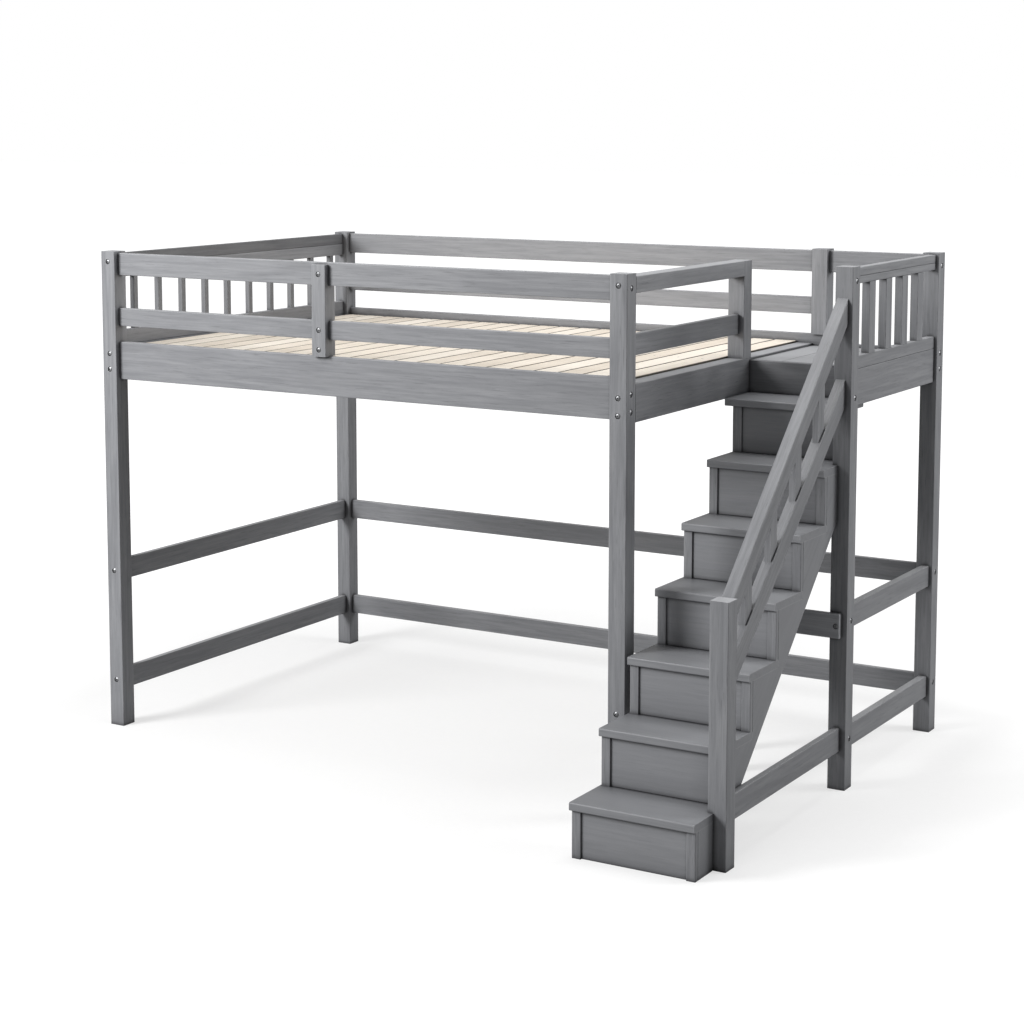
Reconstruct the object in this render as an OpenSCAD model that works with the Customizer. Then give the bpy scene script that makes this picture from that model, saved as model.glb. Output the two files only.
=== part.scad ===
// Loft bed with a staircase and landing at its right end.
// Millimetres, +Z up. The origin is on the floor, at the centre of the footprint.
// Inside the modules X runs along the bed from its left end, Y from the front faces of
// the front posts to the rear, and in_place() moves that corner frame to the origin.

/* [Bed frame] */
// Side of a square post
post = 60; // [50:1:70]
// Height of the full-height posts
post_h = 1700; // [1650:5:1800]
// Length of the bed over its posts
bed_l = 2086; // [2040:1:2140]
// Width of the bed over its posts
bed_w = 1464; // [1400:1:1500]
// Thickness of the side boards and guard rails
board_t = 22; // [18:1:26]

/* [Heights] */
// Top of the slat deck
deck_z = 1366; // [1340:1:1375]
// Bottom of the side boards
board_z = 1250; // [1230:1:1255]
// Top of the front side board
front_board_top = 1382; // [1376:1:1390]
// Top of the rear side board
rear_board_top = 1394; // [1388:1:1400]
// Bottom of the upper guard rails
top_rail_z = 1617; // [1600:1:1630]
// Top of the upper guard rails
top_rail_top = 1694; // [1680:1:1698]
// Height of a lower tie rail
tie_h = 74; // [60:1:80]
// Bottom of the lowest tie rails
tie_low_z = 129; // [110:1:150]
// Bottom of the tie rails at mid height
tie_mid_z = 526; // [500:1:550]

/* [Deck] */
// Number of deck slats
slat_n = 22; // [16:1:24]
// Width of a deck slat
slat_w = 81; // [60:1:84]
// Thickness of a deck slat
slat_t = 18; // [15:1:20]

/* [Landing] */
// From the end of the bed to the outside of the landing
landing_l = 474; // [464:1:500]
// Top of the landing planks
landing_z = 1352; // [1350:1:1356]
// Front face of the outer landing post
outer_post_y = 625; // [620:1:630]
// Front face of the guard post where the landing opens onto the bed
inner_post_y = 838; // [836:1:840]
// Thickness of the landing end panel
panel_t = 28; // [24:1:30]
// Number of landing planks
plank_n = 4; // [3:1:5]

/* [Stairs] */
// Number of treads below the landing
tread_n = 7; // [7:1:7]
// Going, from one tread front to the next
going = 181; // [180:1:182]
// Rise between treads
rise = 178.7; // [178:0.1:179]
// Top of the first tread
first_rise = 171; // [165:1:175]
// Thickness of a tread
tread_t = 25; // [20:1:28]
// Overhang of a tread in front of its riser
nosing = 10; // [5:1:15]
// Front edge of the first tread, in front of the bed
stair_front = 392; // [385:1:400]
// Thickness of a stair side panel
stringer_t = 18; // [15:1:18]
// Width of the strip at each end of a riser
strip_w = 30; // [25:1:45]
// Height of the newel post
newel_h = 797; // [790:1:820]

/* [Handrail] */
// Number of balusters
baluster_n = 4; // [2:1:4]
// Rise of the handrail for each unit of run
rail_slope = 0.975; // [0.96:0.005:0.98]
// Rise of the lower sloping rail for each unit of run
lower_slope = 0.9; // [0.88:0.005:0.92]

/* [End panels] */
// Number of thin spindles at the left end
spindle_n = 10; // [6:1:12]
// Number of wide slats in the landing end panel
panel_slat_n = 4; // [3:1:5]

/* [Hardware] */
// Diameter of a bolt head
head_d = 16; // [14:1:18]
// Diameter of a bolt shank
shank_d = 6; // [5:1:6]
// Diameter of a wooden dowel
dowel_d = 8; // [6:1:8]

/* [Edges] */
// Radius on the long edges of posts, rails and boards
ease = 2.5; // [1:0.5:3]
// Radius on the long edges of the treads
tread_ease = 4; // [2:0.5:6]

/* [Hidden] */
$fn = 32;
grey = [0.47, 0.48, 0.50];
light_grey = [0.60, 0.61, 0.63];
pine = [0.88, 0.76, 0.56];
steel = "silver";
fit = 0.2;

// Post positions: the left or front face of each
right_x = bed_l - post;
outer_x = bed_l + landing_l - post;
total_l = bed_l + landing_l;
rear_y = bed_w - post;
newel_y = -266;
half = post / 2;

// Front rails and end rails are centred in the posts
inset = (post - board_t) / 2;
front_yr = [inset, inset + board_t];
rear_yr = [rear_y + inset, rear_y + inset + board_t];
left_xr = [inset, inset + board_t];
right_xr = [right_x + inset, right_x + inset + board_t];
panel_x = outer_x + 34;
panel_xr = [panel_x - panel_t / 2, panel_x + panel_t / 2];
front_xr = [post, right_x];
left_yr = [post, rear_y];
right_yr = [post, inner_post_y];
right_post_xr = [right_x, bed_l];
panel_yr = [outer_post_y + post, rear_y];

// Heights of rails, as [bottom, top]
front_board_zr = [board_z, front_board_top];
rear_board_zr = [board_z, rear_board_top];
top_rail_zr = [top_rail_z, top_rail_top];
front_guard_zr = [1438, 1501];
rear_guard_zr = [1465, 1526];
end_board_zr = [board_z, deck_z + 2];
left_cap_zr = [1652, 1692];
left_under_zr = [1608, 1652];
spindle_rail_zr = [deck_z + 2, 1420];
right_top_zr = [1638, 1690];
right_guard_zr = [1443, 1510];
beam_zr = [1240, 1360];
right_tie_zr = [308, 382];
panel_cap_zr = [1666, 1694];
panel_under_zr = [1642, 1666];
panel_slat_rail_zr = [deck_z + 2, 1410];
tie_low_zr = [tie_low_z, tie_low_z + tie_h];
tie_mid_zr = [tie_mid_z, tie_mid_z + tie_h];
cross_rail_zr = [505, 585];
landing_rear_top = 1364;

// Guard posts stand on the side boards and on the right beam
guard_post_w = 56;
guard_post_x = 908;
guard_post_top = 1686;
rear_guard_post_x = bed_l;
stud_d = 10;
stud_below = 42;
stud_above = 33;
pin_above = 23;
inner_leg_w = 45;

// Deck supports
ledger_w = 25;
ledger_h = 30;
ledger_zr = [deck_z - slat_t - ledger_h, deck_z - slat_t];
centre_w = 50;
centre_y = (bed_w - centre_w) / 2;
centre_zr = [ledger_zr[1] - 70, ledger_zr[1]];
slat_gap = 2;
slat_x0 = post + slat_gap;
slat_pitch = (right_x - post - 2 * slat_gap - slat_w) / (slat_n - 1);
slat_yr = [front_yr[1] + slat_gap, rear_yr[0] - slat_gap];
screw_head_d = 8;
screw_head_h = 2.5;
screw_d = 4;
screw_l = 38;

// Landing
plank_t = 18;
landing_front_y = inner_post_y + 46;
landing_front_yr = [landing_front_y, landing_front_y + board_t];
landing_xr = [bed_l, panel_xr[0]];
plank_yr = [landing_front_yr[1], rear_yr[0]];
plank_gap = 1;
plank_pitch = (landing_xr[1] - landing_xr[0] + plank_gap) / plank_n;

// Stairs
stair_gap = 24;
stair_xr = [bed_l + stair_gap, outer_x + stringer_t + 1];
right_stringer_x = outer_x + 1;
stringer_slope = 0.963;
stringer_z0 = 281;
riser_t = 18;
riser_panel_t = 10;
riser_recess = 6;
strip_side = 4;
leg_w = 45;
leg_xr = [stair_xr[0] + stringer_t, stair_xr[0] + stringer_t + leg_w];
last_tread_x = outer_x - 10;
function tread_y(i) = -stair_front + (i - 1) * going;
function tread_z(i) = first_rise + (i - 1) * rise;
function riser_y(i) = tread_y(i) + nosing;
function stringer_low(y) = max(0, stringer_z0 + stringer_slope * y);

// Handrail
handrail_xr = [outer_x + 6, outer_x + 46];
lower_rail_xr = [outer_x + 6, outer_x + 40];
rail_top_z = 1600;
rail_h = 80;
lower_top_z = 1341;
lower_h = 88;
baluster_w = 45;
baluster_t = 20;
baluster_x = outer_x + 14;
baluster_y0 = -75;
baluster_pitch = 175;
function handrail_z(y) = rail_top_z + rail_slope * (y - outer_post_y);
function lower_rail_z(y) = lower_top_z + lower_slope * (y - outer_post_y);

// Spindles and panel slats
spindle_x = 20;
spindle_y = 22;
spindle_pitch = 132.4;
panel_slat_w = 52;
panel_slat_pitch = 146;

// Bolt heights
top_bolt_z = 1655;
cap_bolt_z = 1664;
panel_cap_bolt_z = 1680;
front_bolt_zs = [1275, 1330];
rear_bolt_zs = [1295, 1350];
end_bolt_zs = [1285, 1340];
right_bolt_zs = [1265, 1320];
tie_bolt_zs = [tie_low_z + tie_h / 2, tie_mid_z + tie_h / 2];
rear_tie_bolt_zs = [for (z = tie_bolt_zs) z + 10];
right_tie_bolt_z = 333;
right_tie_pin_z = 358;

// Bolt proportions, measured from the face that the head is in
proud = 1;
sink = 4;
dome_r = 13;
socket_d = 7;
bolt_l = 95;
nut_at = 85;
nut_d = 10;
nut_l = 16;
pin_l = 54;
insert_l = 12;
tenon_l = 40;
tenon_t = 12;
tenon_shoulder = 10;
pin_y = outer_post_y + post - tenon_l / 2 - 5;
right_pin_y = post - tenon_l / 2;

// Bolts along X into a rail: [face x, direction, y, z]
x_bolts = concat(
    [for (z = concat(front_bolt_zs, [top_bolt_z])) each [[0, 1, half, z], [bed_l, -1, half, z]]],
    [for (z = concat(rear_bolt_zs, rear_tie_bolt_zs, [top_bolt_z]))
        each [[0, 1, rear_y + half, z], [total_l, -1, rear_y + half, z]]]
);
// Bolts along Y into a rail: [x, face y, direction, z]
y_bolts = concat(
    [for (z = concat(end_bolt_zs, tie_bolt_zs, [cap_bolt_z]))
        each [[half, 0, 1, z], [half, bed_w, -1, z]]],
    [for (z = concat(right_bolt_zs, [right_tie_bolt_z, cap_bolt_z])) [right_x + half, 0, 1, z]],
    [for (z = [345, cap_bolt_z]) [right_x + half, inner_post_y + post, -1, z]],
    [for (z = concat(end_bolt_zs, tie_bolt_zs, [panel_cap_bolt_z])) [panel_x, bed_w, -1, z]]
);
// Bolts along X across a tenon: [face x, direction, y, z]
x_pins = concat(
    [for (z = [tie_bolt_zs[0], tie_bolt_zs[1] - 7, 1280, 1654]) [total_l, -1, pin_y, z]],
    [[bed_l, -1, right_pin_y, right_tie_pin_z]]
);
// Bolts along Y through a lap or into a post: [x, face y, direction, z, length]
lap_bolt_l = 38;
cross_rail_y = outer_post_y - board_t;
y_pins = [
    [guard_post_x + guard_post_w / 2, 0, 1, top_bolt_z, lap_bolt_l],
    [guard_post_x + guard_post_w / 2, 0, 1, 1470, lap_bolt_l],
    [guard_post_x + guard_post_w / 2, 0, 1, front_board_top + pin_above, lap_bolt_l],
    [rear_guard_post_x + half, bed_w, -1, rear_board_top + pin_above, 48],
    [right_x + half, inner_post_y + post, -1, beam_zr[1] + pin_above, 48],
    [outer_x + half, cross_rail_y, 1, 545, 62],
    [leg_xr[0] + leg_w / 2, cross_rail_y, 1, 545, 62]
];

// Dowels along X and along Y: [x, y, z, half length], centred on the joint
x_dowels = concat(
    [for (x = front_xr) [x, half, 1470, 18]],
    [for (x = [post, bed_l]) [x, rear_y + half, 1495, 18]],
    [for (x = [bed_l, bed_l + post]) [x, rear_y + half, top_bolt_z, 18]],
    [for (x = [bed_l, panel_xr[0]], z = [1275, 1325]) [x, landing_front_y + board_t / 2, z, 14]]
);
y_dowels = concat(
    [for (y = left_yr, z = [1394, 1630]) [half, y, z, 18]],
    [for (y = right_yr) [right_x + half, y, 1476, 18]],
    [for (z = [1270, 1325]) [right_x + half, rear_yr[0], z, 14]],
    [for (y = panel_yr) [panel_x, y, 1389, 18]],
    [[panel_x, panel_yr[0], panel_cap_bolt_z, 18], [panel_x, panel_yr[1], 1654, 18]],
    [for (y = [newel_y + post, outer_post_y]) [outer_x + half, y, 168, 18]]
);

function within(v, r) = v > r[0] && v < r[1];
function meets(a, b) = a[0] < b[1] && b[0] < a[1];
function reach(face, dir, l) = dir > 0 ? [face, face + l] : [face - l, face];

// ---- Bores ----

module along_x(x, y, z, dir) {
    translate([x, y, z]) rotate([0, 90 * dir, 0]) children();
}

module along_y(x, y, z, dir) {
    translate([x, y, z]) rotate([-90 * dir, 0, 0]) children();
}

module head_bore() {
    translate([0, 0, -1]) cylinder(d = head_d + 3, h = sink + 1);
}

// Bore of one bolt along +Z, with the blind cross bore for its barrel nut
module bolt_bore(cross) {
    head_bore();
    cylinder(d = shank_d + 1, h = bolt_l + 2);
    translate([0, 0, nut_at]) rotate(cross) translate([0, 0, -nut_l / 2 - fit])
        cylinder(d = nut_d + fit, h = nut_l / 2 + half + 2);
}

module pin_bore(l) {
    head_bore();
    cylinder(d = shank_d + 2 * fit, h = l + 1);
}

module insert_bore() {
    translate([0, 0, pin_l - insert_l]) cylinder(d = nut_d + fit, h = post);
}

// Section of a timber, with rounded corners
module eased(w, h, r) {
    translate([r, 0]) square([w - 2 * r, h]);
    translate([0, r]) square([w, h - 2 * r]);
    for (x = [r, w - r], y = [r, h - r])
        translate([x, y]) circle(r);
}

// A straight blank between two corners, with its long edges rounded
module blank(xr, yr, zr, r = ease) {
    l = xr[1] - xr[0];
    w = yr[1] - yr[0];
    h = zr[1] - zr[0];
    translate([xr[0], yr[0], zr[0]])
        if (l >= max(w, h))
            rotate([90, 0, 90]) linear_extrude(l) eased(w, h, r);
        else if (w >= h)
            translate([0, w, 0]) rotate([90, 0, 0]) linear_extrude(w) eased(l, h, r);
        else
            linear_extrude(h) eased(l, w, r);
}

// A blank with every bore that falls in it
module timber(xr, yr, zr, r = ease) {
    difference() {
        blank(xr, yr, zr, r);
        for (b = x_bolts)
            if (within(b[2], yr) && within(b[3], zr) && meets(xr, reach(b[0], b[1], bolt_l)))
                along_x(b[0], b[2], b[3], b[1]) bolt_bore([-90, 0, 0]);
        for (b = y_bolts)
            if (within(b[0], xr) && within(b[3], zr) && meets(yr, reach(b[1], b[2], bolt_l)))
                along_y(b[0], b[1], b[3], b[2]) bolt_bore([0, -90, 0]);
        for (p = x_pins)
            if (within(p[2], yr) && within(p[3], zr) && meets(xr, reach(p[0], p[1], pin_l)))
                along_x(p[0], p[2], p[3], p[1]) {
                    pin_bore(pin_l);
                    insert_bore();
                }
        for (p = y_pins)
            if (within(p[0], xr) && within(p[3], zr) && meets(yr, reach(p[1], p[2], p[4])))
                along_y(p[0], p[1], p[3], p[2]) pin_bore(p[4]);
        for (d = x_dowels)
            if (within(d[1], yr) && within(d[2], zr) && meets(xr, [d[0] - d[3], d[0] + d[3]]))
                along_x(d[0], d[1], d[2], 1) cylinder(d = dowel_d + fit, h = 2 * d[3] + 1, center = true);
        for (d = y_dowels)
            if (within(d[0], xr) && within(d[2], zr) && meets(yr, [d[1] - d[3], d[1] + d[3]]))
                along_y(d[0], d[1], d[2], 1) cylinder(d = dowel_d + fit, h = 2 * d[3] + 1, center = true);
    }
}

// ---- Posts ----

module square_post(x, y, h) {
    color(grey) timber([x, x + post], [y, y + post], [0, h]);
}

// Mortise in the rear face of a post, for the tenon of a rail with the given heights
module mortise(x, y, zr) {
    translate([x - tenon_t / 2, y - tenon_l, zr[0] + tenon_shoulder])
        cube([tenon_t, tenon_l + 1, zr[1] - zr[0] - 2 * tenon_shoulder]);
}

// Tenon on the front end of a rail
module tenon(x, y, zr) {
    timber(
        [x - tenon_t / 2, x + tenon_t / 2],
        [y - tenon_l, y],
        [zr[0] + tenon_shoulder, zr[1] - tenon_shoulder]
    );
}

module post_front_left() { square_post(0, 0, post_h); }

module post_front_right() {
    color(grey) difference() {
        square_post(right_x, 0, post_h);
        mortise(right_x + half, post, right_tie_zr);
    }
}

module post_rear_left() { square_post(0, rear_y, post_h); }

module post_rear_right() { square_post(outer_x, rear_y, post_h); }

module post_landing() {
    color(grey) difference() {
        square_post(outer_x, outer_post_y, post_h);
        for (zr = [tie_low_zr, tie_mid_zr, end_board_zr])
            mortise(panel_x, panel_yr[0], zr);
    }
}

module newel_post() { square_post(outer_x, newel_y, newel_h); }

module stud_bore(x, y, z) {
    translate([x, y, z - stud_below]) cylinder(d = stud_d + fit, h = stud_below + stud_above + 1);
}

// Short front post, lapped over the rails and standing on the side board
module guard_post_front() {
    mid = guard_post_x + guard_post_w / 2;
    color(grey) difference() {
        timber(
            [guard_post_x, guard_post_x + guard_post_w],
            [0, guard_post_w],
            [front_board_top, guard_post_top]
        );
        for (zr = [top_rail_zr, front_guard_zr])
            translate([guard_post_x - 1, front_yr[0], zr[0]])
                cube([guard_post_w + 2, guard_post_w, zr[1] - zr[0]]);
        stud_bore(mid, half, front_board_top);
    }
}

module guard_post_rear() {
    color(grey) difference() {
        timber(
            [rear_guard_post_x, rear_guard_post_x + post],
            [rear_y, rear_y + post],
            [rear_board_top, post_h]
        );
        stud_bore(rear_guard_post_x + half, rear_y + half, rear_board_top);
    }
}

// Short post on the right beam, at the rear end of the right guard rails
module guard_post_right() {
    color(grey) difference() {
        timber(right_post_xr, [inner_post_y, inner_post_y + post], [beam_zr[1], right_top_zr[1]]);
        stud_bore(right_x + half, inner_post_y + half, beam_zr[1]);
    }
}

// Leg under the right beam, behind the top of the stairs
module inner_leg() {
    y = inner_post_y + post;
    color(grey) timber([bed_l - inner_leg_w, bed_l], [y - inner_leg_w, y], [0, beam_zr[0]]);
}

// ---- Front and rear ----

module front_board() {
    color(grey) difference() {
        timber(front_xr, front_yr, front_board_zr);
        stud_bore(guard_post_x + guard_post_w / 2, half, front_board_top);
    }
}

module front_top_rail() { color(grey) timber(front_xr, front_yr, top_rail_zr); }

module front_guard_rail() { color(grey) timber(front_xr, front_yr, front_guard_zr); }

// Rear side board, cut lower behind the landing
module rear_board() {
    step_x = rear_guard_post_x + post;
    color(grey) difference() {
        timber([post, outer_x], rear_yr, rear_board_zr);
        stud_bore(rear_guard_post_x + half, rear_y + half, rear_board_top);
        translate([step_x, rear_y, landing_rear_top]) cube([outer_x, post, post]);
    }
}

// Two rails in line, one each side of the rear guard post
module rear_top_rails() {
    color(grey) timber([post, rear_guard_post_x], rear_yr, top_rail_zr);
    color(grey) timber([rear_guard_post_x + post, outer_x], rear_yr, top_rail_zr);
}

module rear_guard_rail() { color(grey) timber([post, rear_guard_post_x], rear_yr, rear_guard_zr); }

module rear_ties() {
    for (zr = [tie_low_zr, tie_mid_zr])
        color(grey) timber([post, outer_x], rear_yr, zr);
}

// ---- Left end ----

module left_cap_rail() { color(grey) timber(left_xr, left_yr, left_cap_zr); }

module left_under_rail() { color(grey) timber(left_xr, left_yr, left_under_zr); }

module left_spindle_rail() { color(grey) timber(left_xr, left_yr, spindle_rail_zr); }

module left_board() { color(grey) timber(left_xr, left_yr, end_board_zr); }

module left_ties() {
    for (zr = [tie_low_zr, tie_mid_zr])
        color(grey) timber(left_xr, left_yr, zr);
}

module left_spindles() {
    first = bed_w / 2 - (spindle_n - 1) / 2 * spindle_pitch;
    for (i = [0 : spindle_n - 1])
        color(grey) timber(
            [half - spindle_x / 2, half + spindle_x / 2],
            [first + i * spindle_pitch - spindle_y / 2, first + i * spindle_pitch + spindle_y / 2],
            [spindle_rail_zr[1], left_under_zr[0]]
        );
}

// ---- Right end of the bed ----

module right_top_rail() { color(grey) timber(right_post_xr, right_yr, right_top_zr); }

module right_guard_rail() { color(grey) timber(right_xr, right_yr, right_guard_zr); }

// Deep beam that carries the right ends of the deck, flush with the outside of the posts
module right_beam() {
    color(grey) difference() {
        timber(right_post_xr, [post, rear_yr[0]], beam_zr);
        stud_bore(right_x + half, inner_post_y + half, beam_zr[1]);
    }
}

module right_tie() {
    color(grey) timber(right_xr, [post, inner_post_y + post - inner_leg_w], right_tie_zr);
    color(grey) tenon(right_x + half, post, right_tie_zr);
}

// ---- Landing ----

module landing_front_board() {
    color(grey) timber([bed_l, panel_xr[0]], landing_front_yr, [tread_z(tread_n), landing_z]);
}

// The planks, notched round the rear post
module landing_planks() {
    for (i = [0 : plank_n - 1]) {
        x = landing_xr[0] + i * plank_pitch;
        color(light_grey) difference() {
            timber([x, x + plank_pitch - plank_gap], plank_yr, [landing_z - plank_t, landing_z]);
            translate([outer_x, rear_y, 0]) cube([post, post, post_h]);
        }
    }
}

// Cleats under the planks: front, rear, and one along each side
module landing_cleats() {
    top = landing_z - plank_t;
    zr = [top - ledger_h, top];
    front_y = plank_yr[0] + ledger_w;
    back_y = plank_yr[1] - ledger_w;
    color(grey) timber(landing_xr, [plank_yr[0], front_y], zr);
    color(grey) timber([landing_xr[0], outer_x], [back_y, plank_yr[1]], zr);
    for (x = [landing_xr[0], landing_xr[1] - ledger_w])
        color(grey) timber([x, x + ledger_w], [front_y + plank_gap, back_y - plank_gap], zr);
}

module landing_cap_rail() { color(grey) timber(panel_xr, panel_yr, panel_cap_zr); }

module landing_under_rail() { color(grey) timber(panel_xr, panel_yr, panel_under_zr); }

module landing_slat_rail() { color(grey) timber(panel_xr, panel_yr, panel_slat_rail_zr); }

module landing_slats() {
    middle = (panel_yr[0] + panel_yr[1]) / 2;
    for (i = [0 : panel_slat_n - 1]) {
        y = middle + (i - (panel_slat_n - 1) / 2) * panel_slat_pitch;
        color(grey) timber(
            panel_xr,
            [y - panel_slat_w / 2, y + panel_slat_w / 2],
            [panel_slat_rail_zr[1], panel_under_zr[0]]
        );
    }
}

module tenoned_rail(zr) {
    color(grey) timber(panel_xr, panel_yr, zr);
    color(grey) tenon(panel_x, panel_yr[0], zr);
}

module landing_board() { tenoned_rail(end_board_zr); }

module landing_ties() {
    for (zr = [tie_low_zr, tie_mid_zr])
        tenoned_rail(zr);
}

// ---- Stairs ----

// A tread, cut back at its right end for the newel and the landing post
module tread(i) {
    last = i == tread_n;
    left = last ? bed_l : stair_xr[0];
    right = last ? last_tread_x : stair_xr[1];
    back = last ? landing_front_yr[1] : riser_y(i + 1) + riser_t;
    z = tread_z(i) - tread_t - 1;
    h = tread_t + 2;
    color(grey) difference() {
        timber([left, right], [tread_y(i), back], [tread_z(i) - tread_t, tread_z(i)], tread_ease);
        translate([outer_x, newel_y, z]) cube([post, post, h]);
        translate([outer_x, outer_post_y, z]) cube([post, post + 1, h]);
        if (i == 1)
            translate([outer_x, newel_y, z]) cube([post, going, h]);
        if (i == tread_n - 1)
            translate([outer_x, outer_post_y, z]) cube([post, going, h]);
    }
}

function riser_zr(i) = [i == 1 ? 0 : tread_z(i - 1), tread_z(i) - tread_t];
function riser_right(i) = i == tread_n ? outer_x : i == 2 ? right_stringer_x : stair_xr[1];

// The closed risers, and the right side of the first step
module riser_panels() {
    for (i = [1 : tread_n]) {
        y = riser_y(i) + riser_recess;
        color(grey) timber(
            [stair_xr[0] + strip_side + strip_w, riser_right(i) - strip_w],
            [y, y + riser_panel_t],
            riser_zr(i)
        );
    }
    color(grey) timber([right_stringer_x, stair_xr[1]], [riser_y(1) + riser_t, newel_y], riser_zr(1));
}

// The strips that frame each riser
module riser_strips() {
    left = stair_xr[0] + strip_side;
    for (i = [1 : tread_n], x = [left, riser_right(i) - strip_w])
        color(grey) timber([x, x + strip_w], [riser_y(i), riser_y(i) + riser_t], riser_zr(i));
}

// Side panel with a stepped top and a sloping underside, drawn in Y and Z
module side_panel(x, outline) {
    color(grey) translate([x, 0, 0]) rotate([90, 0, 90]) linear_extrude(stringer_t) polygon(outline);
}

// Two corners of the stepped top for tread i, where its front cut is at y
function step_corners(i, y) = [[y, tread_z(i - 1) - tread_t], [y, tread_z(i) - tread_t]];

module stringer_left() {
    back = riser_t;
    end = landing_front_yr[1];
    side_panel(stair_xr[0], concat(
        [[riser_y(1) + back, 0], [riser_y(1) + back, tread_z(1) - tread_t]],
        [for (i = [2 : tread_n]) each step_corners(i, riser_y(i) + back)],
        [[end, tread_z(tread_n) - tread_t], [end, stringer_low(end)]],
        [[-stringer_z0 / stringer_slope, 0]]
    ));
}

module stringer_right() {
    start = newel_y + post;
    side_panel(right_stringer_x, concat(
        [[start, stringer_low(start)], [start, tread_z(2) - tread_t]],
        [for (i = [3 : tread_n - 1]) each step_corners(i, riser_y(i) + riser_t)],
        [[outer_post_y, tread_z(tread_n - 1) - tread_t], [outer_post_y, stringer_low(outer_post_y)]]
    ));
}

module stair_leg() {
    color(grey) timber(leg_xr, [outer_post_y, outer_post_y + leg_w], [0, tread_z(tread_n - 1) - tread_t]);
}

module stair_cross_rail() {
    color(grey) timber([leg_xr[0], outer_x + 41], [cross_rail_y, outer_post_y], cross_rail_zr);
}

module newel_tie() {
    color(grey) timber(
        [outer_x + inset, outer_x + inset + board_t],
        [newel_y + post, outer_post_y],
        [tie_low_z, tie_low_z + tie_h + 4]
    );
}

// ---- Handrail ----

// A rail that slopes from the newel to the landing post, given the height of its top at the newel
module sloping_rail(xr, z, slope, h) {
    y0 = newel_y + post;
    l = outer_post_y - y0;
    color(grey) intersection() {
        translate([0, y0, z]) rotate([atan(slope), 0, 0]) blank(xr, [-h, 2 * l], [-h * cos(atan(slope)), 0]);
        translate([xr[0] - 1, y0, 0]) cube([post, l, post_h]);
    }
}

module handrail() { sloping_rail(handrail_xr, handrail_z(newel_y + post), rail_slope, rail_h); }

module lower_handrail() { sloping_rail(lower_rail_xr, lower_rail_z(newel_y + post), lower_slope, lower_h); }

module balusters() {
    for (i = [0 : baluster_n - 1]) {
        y0 = baluster_y0 + i * baluster_pitch - baluster_w / 2;
        y1 = y0 + baluster_w;
        color(grey) translate([baluster_x, 0, 0]) rotate([90, 0, 90]) linear_extrude(baluster_t)
            polygon([
                [y0, lower_rail_z(y0)],
                [y1, lower_rail_z(y1)],
                [y1, handrail_z(y1) - rail_h],
                [y0, handrail_z(y0) - rail_h]
            ]);
    }
}

// ---- Deck ----

function slat_x(i) = slat_x0 + i * slat_pitch;
screw_ys = [front_yr[1] + ledger_w / 2, centre_y + centre_w / 2, rear_yr[0] - ledger_w / 2];

module screw(clearance) {
    translate([0, 0, -screw_head_h]) cylinder(d = screw_head_d + clearance, h = screw_head_h + clearance);
    translate([0, 0, -screw_l - clearance]) cylinder(d = screw_d + clearance, h = screw_l);
}

// Screw bores that fall in one row, at the given Y
module screw_row(y) {
    for (i = [0 : slat_n - 1])
        translate([slat_x(i) + slat_w / 2, y, deck_z]) screw(fit);
}

module deck_slats() {
    for (i = [0 : slat_n - 1])
        color(pine) difference() {
            blank([slat_x(i), slat_x(i) + slat_w], slat_yr, [deck_z - slat_t, deck_z]);
            for (y = screw_ys)
                translate([slat_x(i) + slat_w / 2, y, deck_z]) screw(fit);
        }
}

// Front and rear ledgers, and a cleat under each end of the centre beam
module deck_ledgers() {
    color(pine) difference() {
        timber([post, right_x], [front_yr[1], front_yr[1] + ledger_w], ledger_zr);
        screw_row(screw_ys[0]);
    }
    color(pine) difference() {
        timber([post, right_x], [rear_yr[0] - ledger_w, rear_yr[0]], ledger_zr);
        screw_row(screw_ys[2]);
    }
    for (x = [left_xr[1], right_x - ledger_w])
        color(pine) timber(
            [x, x + ledger_w],
            [centre_y - ledger_w, centre_y + centre_w + ledger_w],
            [board_z, centre_zr[0]]
        );
}

module centre_beam() {
    color(pine) difference() {
        timber([left_xr[1], right_x], [centre_y, centre_y + centre_w], centre_zr);
        screw_row(screw_ys[1]);
    }
}

// ---- Hardware ----

// Button-head bolt along +Z; the head is sunk but stands a little proud
module hex_bolt(l) {
    difference() {
        union() {
            intersection() {
                translate([0, 0, -proud]) cylinder(d = head_d, h = sink + proud);
                translate([0, 0, dome_r - proud]) sphere(dome_r);
            }
            translate([0, 0, 1]) cylinder(d = shank_d, h = l - 1);
        }
        translate([0, 0, -sink]) cylinder(d = socket_d, h = sink + 2, $fn = 6);
    }
}

// Stud that stands a guard post on its side board, cross-bored for the pin that locks it
module guard_stud(x, y, z) {
    difference() {
        translate([x, y, z - stud_below]) cylinder(d = stud_d, h = stud_below + stud_above);
        along_y(x, y, z + pin_above, 1) cylinder(d = shank_d + fit, h = stud_d + 2, center = true);
    }
}

module bolts() {
    color(steel) {
        for (b = x_bolts)
            along_x(b[0], b[2], b[3], b[1]) hex_bolt(bolt_l);
        for (b = y_bolts)
            along_y(b[0], b[1], b[3], b[2]) hex_bolt(bolt_l);
        for (p = x_pins)
            along_x(p[0], p[2], p[3], p[1]) hex_bolt(pin_l);
        for (p = y_pins)
            along_y(p[0], p[1], p[3], p[2]) hex_bolt(p[4]);
        guard_stud(guard_post_x + guard_post_w / 2, half, front_board_top);
        guard_stud(rear_guard_post_x + half, rear_y + half, rear_board_top);
        guard_stud(right_x + half, inner_post_y + half, beam_zr[1]);
    }
}

// Barrel nut across a bolt that runs along Z
module barrel_nut(cross) {
    difference() {
        translate([0, 0, nut_at]) rotate(cross) cylinder(d = nut_d, h = nut_l, center = true);
        cylinder(d = shank_d + fit, h = bolt_l + nut_d);
    }
}

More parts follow.
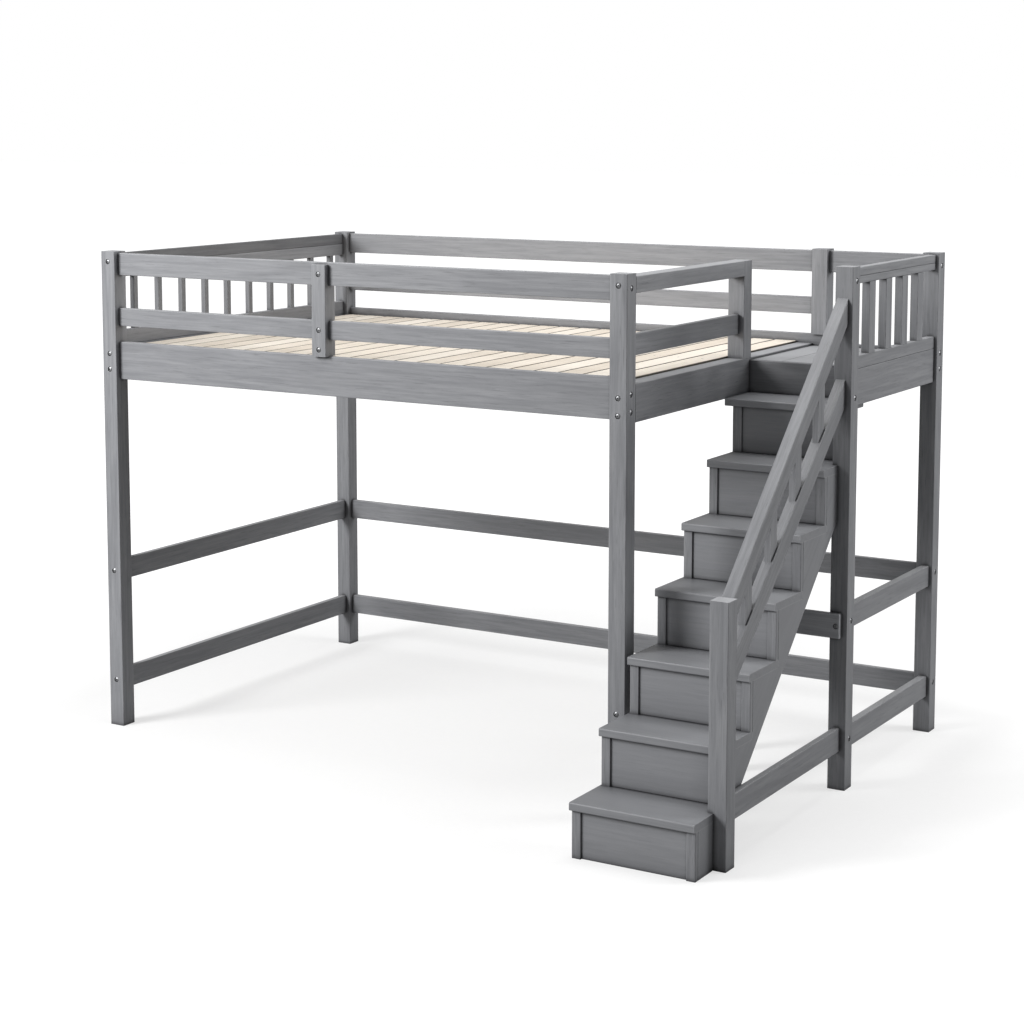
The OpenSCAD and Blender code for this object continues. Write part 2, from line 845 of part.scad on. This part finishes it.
module barrel_nuts() {
    color(steel) {
        for (b = x_bolts)
            along_x(b[0], b[2], b[3], b[1]) barrel_nut([-90, 0, 0]);
        for (b = y_bolts)
            along_y(b[0], b[1], b[3], b[2]) barrel_nut([0, -90, 0]);
        for (p = x_pins)
            along_x(p[0], p[2], p[3], p[1]) translate([0, 0, pin_l - insert_l]) difference() {
                cylinder(d = nut_d, h = insert_l);
                translate([0, 0, -1]) cylinder(d = shank_d + fit, h = insert_l + 2);
            }
    }
}

module slat_screws() {
    for (i = [0 : slat_n - 1], y = screw_ys)
        color(steel) translate([slat_x(i) + slat_w / 2, y, deck_z]) screw(0);
}

module dowels() {
    color(pine) {
        for (d = x_dowels)
            along_x(d[0], d[1], d[2], 1) cylinder(d = dowel_d, h = 2 * d[3], center = true);
        for (d = y_dowels)
            along_y(d[0], d[1], d[2], 1) cylinder(d = dowel_d, h = 2 * d[3], center = true);
    }
}

// ---- Assembly ----

module in_place() {
    translate([-total_l / 2, (stair_front - bed_w - proud) / 2, 0]) children();
}

in_place() post_front_left();
in_place() post_front_right();
in_place() post_rear_left();
in_place() post_rear_right();
in_place() post_landing();
in_place() newel_post();
in_place() guard_post_front();
in_place() guard_post_rear();
in_place() guard_post_right();
in_place() inner_leg();
in_place() front_board();
in_place() front_top_rail();
in_place() front_guard_rail();
in_place() rear_board();
in_place() rear_top_rails();
in_place() rear_guard_rail();
in_place() rear_ties();
in_place() left_cap_rail();
in_place() left_under_rail();
in_place() left_spindles();
in_place() left_spindle_rail();
in_place() left_board();
in_place() left_ties();
in_place() right_top_rail();
in_place() right_guard_rail();
in_place() right_beam();
in_place() right_tie();
in_place() landing_front_board();
in_place() landing_planks();
in_place() landing_cleats();
in_place() landing_cap_rail();
in_place() landing_under_rail();
in_place() landing_slats();
in_place() landing_slat_rail();
in_place() landing_board();
in_place() landing_ties();
for (i = [1 : tread_n])
    in_place() tread(i);
in_place() riser_panels();
in_place() riser_strips();
in_place() stringer_left();
in_place() stringer_right();
in_place() stair_leg();
in_place() stair_cross_rail();
in_place() newel_tie();
in_place() handrail();
in_place() lower_handrail();
in_place() balusters();
in_place() deck_slats();
in_place() deck_ledgers();
in_place() centre_beam();
in_place() bolts();
in_place() barrel_nuts();
in_place() slat_screws();
in_place() dowels();
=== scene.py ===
"""Looks for a grey painted loft bed with a pine slat deck, a staircase and a landing.

The shapes are the CAD nodes. This script gives them their materials, and sets the
floor, the light and the camera.
"""

import math

import bpy
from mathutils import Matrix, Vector


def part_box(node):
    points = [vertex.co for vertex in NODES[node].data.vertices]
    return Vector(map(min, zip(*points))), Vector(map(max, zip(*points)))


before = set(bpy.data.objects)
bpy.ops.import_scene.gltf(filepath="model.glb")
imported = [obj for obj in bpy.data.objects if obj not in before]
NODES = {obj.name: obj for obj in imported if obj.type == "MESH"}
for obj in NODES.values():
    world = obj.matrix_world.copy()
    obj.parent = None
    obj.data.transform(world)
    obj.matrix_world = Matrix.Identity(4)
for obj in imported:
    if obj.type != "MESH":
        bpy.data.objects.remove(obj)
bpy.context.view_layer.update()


# ---- Sizes, from the frame ----

POST_LO, POST_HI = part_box("post_front_left")
BED_FRONT = POST_LO.y
BED_LEFT = POST_LO.x
SLAT_LO, SLAT_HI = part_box("deck_slats")
SLAT_COUNT = 22
SLAT_WIDTH = 0.081
SLAT_PITCH = (SLAT_HI.x - SLAT_LO.x - SLAT_WIDTH) / (SLAT_COUNT - 1)


# ---- Node helpers ----

class Graph:
    """A short way to build a material's node tree."""

    def __init__(self, name):
        self.material = bpy.data.materials.new(name)
        self.material.use_nodes = True
        self.tree = self.material.node_tree
        self.tree.nodes.clear()
        self.shader = self.add("ShaderNodeBsdfPrincipled")
        output = self.add("ShaderNodeOutputMaterial")
        self.link(self.shader.outputs["BSDF"], output.inputs["Surface"])

    def add(self, kind, **settings):
        node = self.tree.nodes.new(kind)
        for key, value in settings.items():
            setattr(node, key, value)
        return node

    def link(self, source, target):
        self.tree.links.new(source, target)

    def put(self, socket, value):
        if hasattr(value, "is_output"):
            self.link(value, socket)
        else:
            socket.default_value = value

    def math(self, operation, a, b=0.0):
        node = self.add("ShaderNodeMath", operation=operation)
        self.put(node.inputs[0], a)
        self.put(node.inputs[1], b)
        return node.outputs[0]

    def vector_math(self, operation, a, b=(0, 0, 0)):
        node = self.add("ShaderNodeVectorMath", operation=operation)
        self.put(node.inputs[0], a)
        self.put(node.inputs[1], b)
        return node.outputs["Value" if operation in ("DOT_PRODUCT", "LENGTH") else "Vector"]

    def place(self, turn=(0, 0, 0)):
        mapping = self.add("ShaderNodeMapping")
        self.link(self.add("ShaderNodeTexCoord").outputs["Object"], mapping.inputs["Vector"])
        mapping.inputs["Rotation"].default_value = turn
        return mapping.outputs["Vector"]

    def noise(self, vector, scale, detail=4.0, rough=0.55, distortion=0.0):
        node = self.add("ShaderNodeTexNoise")
        self.put(node.inputs["Vector"], vector)
        node.inputs["Scale"].default_value = scale
        node.inputs["Detail"].default_value = detail
        node.inputs["Roughness"].default_value = rough
        node.inputs["Distortion"].default_value = distortion
        return node.outputs["Fac"]

    def remap(self, value, low, high, to_low=0.0, to_high=1.0):
        node = self.add("ShaderNodeMapRange", clamp=True)
        self.put(node.inputs["Value"], value)
        node.inputs["From Min"].default_value = low
        node.inputs["From Max"].default_value = high
        node.inputs["To Min"].default_value = to_low
        node.inputs["To Max"].default_value = to_high
        return node.outputs["Result"]

    def mix(self, factor, a, b):
        node = self.add("ShaderNodeMix", data_type="RGBA")
        self.put(node.inputs["Factor"], factor)
        self.put(node.inputs[6], a)
        self.put(node.inputs[7], b)
        return node.outputs[2]

    def bump(self, height, strength, distance):
        node = self.add("ShaderNodeBump")
        node.inputs["Strength"].default_value = strength
        node.inputs["Distance"].default_value = distance
        self.put(node.inputs["Height"], height)
        return node.outputs["Normal"]


def rgb(r, g, b):
    return (r, g, b, 1.0)


def toned(colour, tone):
    """A colour made lighter or darker, with its alpha kept."""
    return rgb(*(channel * tone for channel in colour[:3]))


# ---- Materials ----

FLOOR_GLOW = 0.62
FLOOR_GLOW_NEAR = 1.6
FLOOR_GLOW_FAR = 4.5
FLOOR_SIZE = 60.0

PAINT = rgb(0.186, 0.190, 0.202)
PAINT_LIGHT = rgb(0.250, 0.254, 0.266)
PAINT_DARK = rgb(0.100, 0.102, 0.110)
# The last four colours are painted light: lighter edges (wear and painted highlight), painted
# shade, painted top light and painted shade in creases.
PAINT_WORN_AND_HIGHLIGHT = rgb(0.33, 0.335, 0.35)
PAINT_SHADED = rgb(0.060, 0.061, 0.066)
PAINT_TOP_LIGHT = rgb(0.42, 0.425, 0.44)
PAINT_CREASE_SHADE = rgb(0.022, 0.022, 0.025)

GRAIN_TURNS = {
    "x": (0, 0, math.pi / 2),
    "y": (0, 0, 0),
    "z": (math.pi / 2, 0, 0),
}


def edge_mask(g, radius):
    """1 along convex edges, 0 on flat faces."""
    bevel = g.add("ShaderNodeBevel", samples=4)
    bevel.inputs["Radius"].default_value = radius
    flat = g.add("ShaderNodeNewGeometry").outputs["Normal"]
    agreement = g.vector_math("DOT_PRODUCT", bevel.outputs["Normal"], flat)
    return g.remap(agreement, 0.995, 0.90)


def facing(g, axis):
    """How squarely a face looks along an axis: 1 or -1 when it faces straight along it."""
    split = g.add("ShaderNodeSeparateXYZ")
    g.link(g.add("ShaderNodeNewGeometry").outputs["Normal"], split.inputs[0])
    return split.outputs[axis]


def painted_shade_mask(g, reach, clear=0.86, full=0.40):
    """Ambient occlusion as a mask for painted shade: 1 deep in joints and under overhangs, 0 on
    open faces.
    """
    nearby = g.add("ShaderNodeAmbientOcclusion", samples=8)
    nearby.inputs["Distance"].default_value = reach
    return g.remap(nearby.outputs["AO"], clear, full)


def grain_space(g, turn, stretch):
    """Object coordinates turned so that the grain runs along Y, and drawn out along it."""
    turned = g.place(turn=turn)
    return g.vector_math("MULTIPLY", turned, (1.0, 1.0 / stretch, 1.0))


def painted_wood(name, turn, tone=1.0, painted_top_light=0.0, grain=1.0):
    """Satin grey paint, thin enough for the grain below it to show, with light and shade painted
    into its colour.

    tone makes the paint lighter or darker, the top-light share paints the faces that look up
    lighter as painted top light, and grain is how strongly the wood shows.
    """
    g = Graph(name)
    streaks = g.noise(grain_space(g, turn, 24), 95, detail=7, rough=0.66, distortion=0.4)
    figure = g.noise(grain_space(g, turn, 11), 13, detail=3, rough=0.5, distortion=1.6)
    pores = g.noise(grain_space(g, turn, 28), 300, detail=3, rough=0.7)
    cloud = g.noise(g.place(), 1.7, detail=3, rough=0.5)
    base = toned(PAINT, tone)
    dark = toned(PAINT_DARK, tone)
    spread = min(grain, 1.0) / 2
    streaked = g.remap(streaks, 0.38, 0.64, 0.5 - spread, 0.5 + spread)
    colour = g.mix(streaked, base, toned(PAINT_LIGHT, tone))
    colour = g.mix(g.remap(figure, 0.56, 0.74, 0, 0.30 * grain), colour, dark)
    colour = g.mix(g.remap(pores, 0.58, 0.72, 0, 0.70 * grain), colour, dark)
    colour = g.mix(g.remap(cloud, 0.35, 0.65, 0, 0.22), colour, base)
    if painted_top_light:
        # Painted top light: faces that look up are painted lighter, as where light falls from
        # above.
        colour = g.mix(g.remap(facing(g, "Z"), 0.85, 0.97, 0, painted_top_light), colour, PAINT_TOP_LIGHT)
    # Convex edges painted lighter: partly rubbed paint, partly a painted highlight.
    worn_and_highlight = g.math("MULTIPLY", edge_mask(g, 0.003), g.remap(streaks, 0.3, 0.7, 0.35, 0.9))
    colour = g.mix(worn_and_highlight, colour, toned(PAINT_WORN_AND_HIGHLIGHT, tone))
    # Painted shade: paint darkened near other parts, such as risers under the tread noses.
    shaded = g.math("MULTIPLY", painted_shade_mask(g, 0.10, 0.95, 0.35), 0.42)
    colour = g.mix(shaded, colour, toned(PAINT_SHADED, tone))
    # Painted shade: near-black in tight joints and under overhangs, where contact shadows fall.
    colour = g.mix(g.math("MULTIPLY", painted_shade_mask(g, 0.022), 0.92), colour, PAINT_CREASE_SHADE)
    g.link(colour, g.shader.inputs["Base Color"])
    g.link(g.remap(streaks, 0.3, 0.7, 0.36, 0.50), g.shader.inputs["Roughness"])
    relief = g.math("ADD", g.math("MULTIPLY", streaks, 0.6), g.math("MULTIPLY", pores, 0.4))
    g.link(g.bump(relief, 0.45, 0.0008), g.shader.inputs["Normal"])
    return g.material


def slat_pine(name, turn, pitch, start):
    """Bare planed pine: rings drawn out along the slat, fine fibre, a few knots. Side faces and
    the gaps between slats carry painted shade.

    A new board, with its own place in the pattern and its own tint, begins every pitch.
    """
    g = Graph(name)
    where = g.add("ShaderNodeTexCoord").outputs["Object"]
    split = g.add("ShaderNodeSeparateXYZ")
    g.link(where, split.inputs[0])
    board = g.math("FLOOR", g.math("DIVIDE", g.math("SUBTRACT", split.outputs["X"], start), pitch))
    chance = g.add("ShaderNodeTexWhiteNoise", noise_dimensions="1D")
    g.link(board, chance.inputs["W"])
    shift = g.vector_math("MULTIPLY", chance.outputs["Color"], (3.0, 7.0, 2.0))
    turned = g.vector_math("ADD", g.place(turn=turn), shift)
    along = g.vector_math("MULTIPLY", turned, (1.0, 0.045, 1.0))
    warp = g.noise(g.vector_math("MULTIPLY", turned, (1.0, 0.25, 1.0)), 9, detail=2)
    rings = g.add("ShaderNodeTexWave", wave_type="BANDS", bands_direction="X", wave_profile="SAW")
    g.link(along, rings.inputs["Vector"])
    rings.inputs["Scale"].default_value = 26
    rings.inputs["Distortion"].default_value = 7.0
    rings.inputs["Detail"].default_value = 2.0
    rings.inputs["Detail Scale"].default_value = 0.9
    fibre = g.noise(g.vector_math("MULTIPLY", turned, (1.0, 0.03, 1.0)), 240, detail=4, rough=0.65)
    knots = g.add("ShaderNodeTexVoronoi", feature="F1")
    g.link(g.vector_math("MULTIPLY", turned, (1.0, 0.62, 1.0)), knots.inputs["Vector"])
    knots.inputs["Scale"].default_value = 5.2
    knot_edge = g.math("ADD", knots.outputs["Distance"], g.math("MULTIPLY", warp, 0.05))
    knot = g.remap(knot_edge, 0.075, 0.045)
    early = rgb(0.90, 0.83, 0.73)
    late = rgb(0.52, 0.42, 0.32)
    colour = g.mix(g.remap(rings.outputs["Fac"], 0.35, 1.0, 0, 0.65), early, late)
    colour = g.mix(g.remap(fibre, 0.45, 0.72, 0, 0.50), colour, rgb(0.46, 0.37, 0.28))
    stain = g.remap(chance.outputs["Value"], 0.55, 1.0, 0, 0.35)
    colour = g.mix(stain, colour, rgb(0.50, 0.42, 0.33))
    tint = g.remap(chance.outputs["Value"], 0.5, 0, 0, 0.5)
    colour = g.mix(tint, colour, rgb(0.90, 0.84, 0.75))
    colour = g.mix(knot, colour, rgb(0.20, 0.09, 0.035))
    # Painted shade: the slats' side faces, which look into the gaps, are painted near-black.
    side_shade = g.remap(g.math("ABSOLUTE", facing(g, "X")), 0.45, 0.9, 0, 0.92)
    colour = g.mix(side_shade, colour, rgb(0.030, 0.022, 0.013))
    # Painted shade: near-black deep in the gaps between slats.
    gap_shade = g.math("MULTIPLY", painted_shade_mask(g, 0.014), 0.95)
    colour = g.mix(gap_shade, colour, rgb(0.04, 0.030, 0.020))
    g.link(colour, g.shader.inputs["Base Color"])
    g.link(g.remap(fibre, 0.3, 0.7, 0.52, 0.68), g.shader.inputs["Roughness"])
    ridges = g.math("MULTIPLY", rings.outputs["Fac"], 0.3)
    relief = g.math("ADD", g.math("MULTIPLY", fibre, 0.7), ridges)
    g.link(g.bump(relief, 0.4, 0.0005), g.shader.inputs["Normal"])
    return g.material


def zinc_steel(name):
    """Bright zinc plate with fine turning marks."""
    g = Graph(name)
    cloud = g.noise(g.place(), 190, detail=3)
    fine = g.noise(g.place(), 1500, detail=2)
    colour = g.mix(g.remap(cloud, 0.35, 0.65), rgb(0.20, 0.203, 0.21), rgb(0.34, 0.345, 0.355))
    g.link(colour, g.shader.inputs["Base Color"])
    g.shader.inputs["Metallic"].default_value = 1.0
    g.link(g.remap(cloud, 0.3, 0.7, 0.40, 0.55), g.shader.inputs["Roughness"])
    g.link(g.bump(fine, 0.15, 0.0001), g.shader.inputs["Normal"])
    return g.material


def studio_floor(name):
    """Pale seamless paper: it looks nearly white, but sends little light back up."""
    g = Graph(name)
    speck = g.noise(g.place(), 40, detail=2)
    colour = g.mix(speck, rgb(0.33, 0.33, 0.33), rgb(0.35, 0.35, 0.35))
    g.link(colour, g.shader.inputs["Base Color"])
    g.shader.inputs["Roughness"].default_value = 0.9
    g.shader.inputs["Emission Color"].default_value = rgb(1.0, 1.0, 1.0)
    away = g.vector_math("LENGTH", g.add("ShaderNodeTexCoord").outputs["Object"])
    glow = g.remap(away, FLOOR_GLOW_NEAR, FLOOR_GLOW_FAR, FLOOR_GLOW, 1.0)
    seen = g.add("ShaderNodeLightPath").outputs["Is Camera Ray"]
    g.link(g.math("MULTIPLY", seen, glow), g.shader.inputs["Emission Strength"])
    return g.material


# ---- Which node gets which material ----

HANDRAIL_SLOPE = math.atan(0.975)
LOWER_SLOPE = math.atan(0.9)

ALONG_X = [
    "front_board", "front_top_rail", "front_guard_rail",
    "rear_board", "rear_top_rails", "rear_guard_rail", "rear_ties",
]
TREADS = [f"tread_{i}" for i in range(1, 8)]
ALONG_Y = [
    "left_under_rail", "left_spindle_rail", "left_board", "left_ties",
    "right_top_rail", "right_guard_rail", "right_beam", "right_tie",
    "landing_planks", "landing_cleats", "landing_cap_rail", "landing_under_rail",
    "landing_slat_rail", "landing_board", "landing_ties", "newel_tie",
]
ALONG_Z = [
    "post_front_left", "post_front_right", "post_rear_left", "post_rear_right",
    "post_landing", "newel_post", "inner_leg", "stair_leg",
    "guard_post_front", "guard_post_rear", "guard_post_right",
    "landing_slats", "riser_strips", "balusters",
]
STEEL = ["bolts", "barrel_nuts", "slat_screws"]
# Painted light and shade: these pieces share one paint, but the cross rail is painted lighter and
# the others darker, as light falls on them.
PAINTED_LIGHT_AND_SHADE_TONES = {
    "stair_cross_rail": ("x", 1.60),
    "landing_front_board": ("x", 0.62),
    "left_cap_rail": ("y", 0.56),
    "left_spindles": ("z", 0.72),
}
ONE_BOARD = 4.0  # longer than the bed, so a piece with this pitch is one board
# How much lighter faces that look up are painted, as painted top light.
PAINTED_TOP_LIGHT = 0.65


def assign(material, names):
    for name in names:
        NODES[name].data.materials.clear()
        NODES[name].data.materials.append(material)


for direction, names in (("x", ALONG_X), ("y", ALONG_Y), ("z", ALONG_Z)):
    turn = GRAIN_TURNS[direction]
    assign(painted_wood(f"painted_wood_{direction}", turn, painted_top_light=PAINTED_TOP_LIGHT), names)
assign(painted_wood("painted_treads", GRAIN_TURNS["x"], grain=0.55), TREADS)
assign(painted_wood("painted_risers", GRAIN_TURNS["x"], tone=1.06, grain=0.40), ["riser_panels"])
for name, (direction, tone) in PAINTED_LIGHT_AND_SHADE_TONES.items():
    assign(painted_wood(f"painted_{name}", GRAIN_TURNS[direction], tone=tone), [name])
for name, slope in (("handrail", HANDRAIL_SLOPE), ("lower_handrail", LOWER_SLOPE)):
    assign(painted_wood(f"painted_{name}", (-slope, 0, 0), tone=0.95, grain=1.3), [name])
side_panel = painted_wood("painted_side_panel", (-HANDRAIL_SLOPE, 0, 0), grain=0.5)
assign(side_panel, ["stringer_left", "stringer_right"])
slat_start = SLAT_LO.x - (SLAT_PITCH - SLAT_WIDTH) / 2
assign(slat_pine("pine_slats", GRAIN_TURNS["y"], SLAT_PITCH, slat_start), ["deck_slats"])
for name, names in (("pine_x", ["deck_ledgers", "centre_beam"]), ("dowel_wood", ["dowels"])):
    assign(slat_pine(name, GRAIN_TURNS["x"], ONE_BOARD, -ONE_BOARD / 2), names)
assign(zinc_steel("zinc_steel"), STEEL)


# ---- Floor ----

def make_floor():
    mesh = bpy.data.meshes.new("floor")
    signs = [(-1, -1), (1, -1), (1, 1), (-1, 1)]
    corners = [(FLOOR_SIZE * x, FLOOR_SIZE * y, 0) for x, y in signs]
    mesh.from_pydata(corners, [], [(0, 1, 2, 3)])
    floor = bpy.data.objects.new("floor", mesh)
    bpy.context.scene.collection.objects.link(floor)
    floor.data.materials.append(studio_floor("studio_floor"))


make_floor()


# ---- Light ----

AMBIENT = 0.34
KEY_WATTS = 440
SIDE_WATTS = 112
TOP_WATTS = 110


def area_light(name, place, target, size, watts):
    data = bpy.data.lights.new(name, "AREA")
    data.shape = "DISK"
    data.size = size
    data.energy = watts
    light = bpy.data.objects.new(name, data)
    light.location = place
    light.rotation_mode = "QUATERNION"
    light.rotation_quaternion = (Vector(target) - Vector(place)).to_track_quat("-Z", "Y")
    bpy.context.scene.collection.objects.link(light)


def studio_world():
    """Soft even light from all round, in front of a plain white backdrop."""
    world = bpy.data.worlds.new("studio")
    world.use_nodes = True
    tree = world.node_tree
    light = tree.nodes["Background"]
    light.inputs["Color"].default_value = rgb(1.0, 1.0, 1.0)
    light.inputs["Strength"].default_value = AMBIENT
    backdrop = tree.nodes.new("ShaderNodeBackground")
    backdrop.inputs["Color"].default_value = rgb(1.0, 1.0, 1.0)
    path = tree.nodes.new("ShaderNodeLightPath")
    mix = tree.nodes.new("ShaderNodeMixShader")
    tree.links.new(path.outputs["Is Camera Ray"], mix.inputs[0])
    tree.links.new(light.outputs[0], mix.inputs[1])
    tree.links.new(backdrop.outputs[0], mix.inputs[2])
    tree.links.new(mix.outputs[0], tree.nodes["World Output"].inputs["Surface"])
    bpy.context.scene.world = world


studio_world()
area_light("key", (-3.4, -4.8, 3.6), (-0.1, -0.3, 0.9), 2.6, KEY_WATTS)
area_light("side", (4.6, 2.4, 2.6), (1.2, 0.4, 0.9), 2.0, SIDE_WATTS)
area_light("top", (0.6, 0.3, 5.0), (0.6, 0.3, 0.0), 2.6, TOP_WATTS)


# ---- Camera ----

CAMERA_FROM_CORNER = Vector((5.1664, -5.8159, 2.1980))
CAMERA_AZIMUTH = math.radians(30.9385)
CAMERA_DOWN = math.radians(6.5422)
CAMERA_LENS = 76.729
CAMERA_RISE = -0.150

lens = bpy.data.cameras.new("camera")
lens.sensor_width = 36.0
lens.lens = CAMERA_LENS
lens.shift_y = CAMERA_RISE
camera = bpy.data.objects.new("camera", lens)
camera.location = CAMERA_FROM_CORNER + Vector((BED_LEFT, BED_FRONT, 0))
camera.rotation_euler = (math.pi / 2 - CAMERA_DOWN, 0, CAMERA_AZIMUTH)
bpy.context.scene.collection.objects.link(camera)
bpy.context.scene.camera = camera
bpy.context.scene.view_settings.view_transform = "Standard"
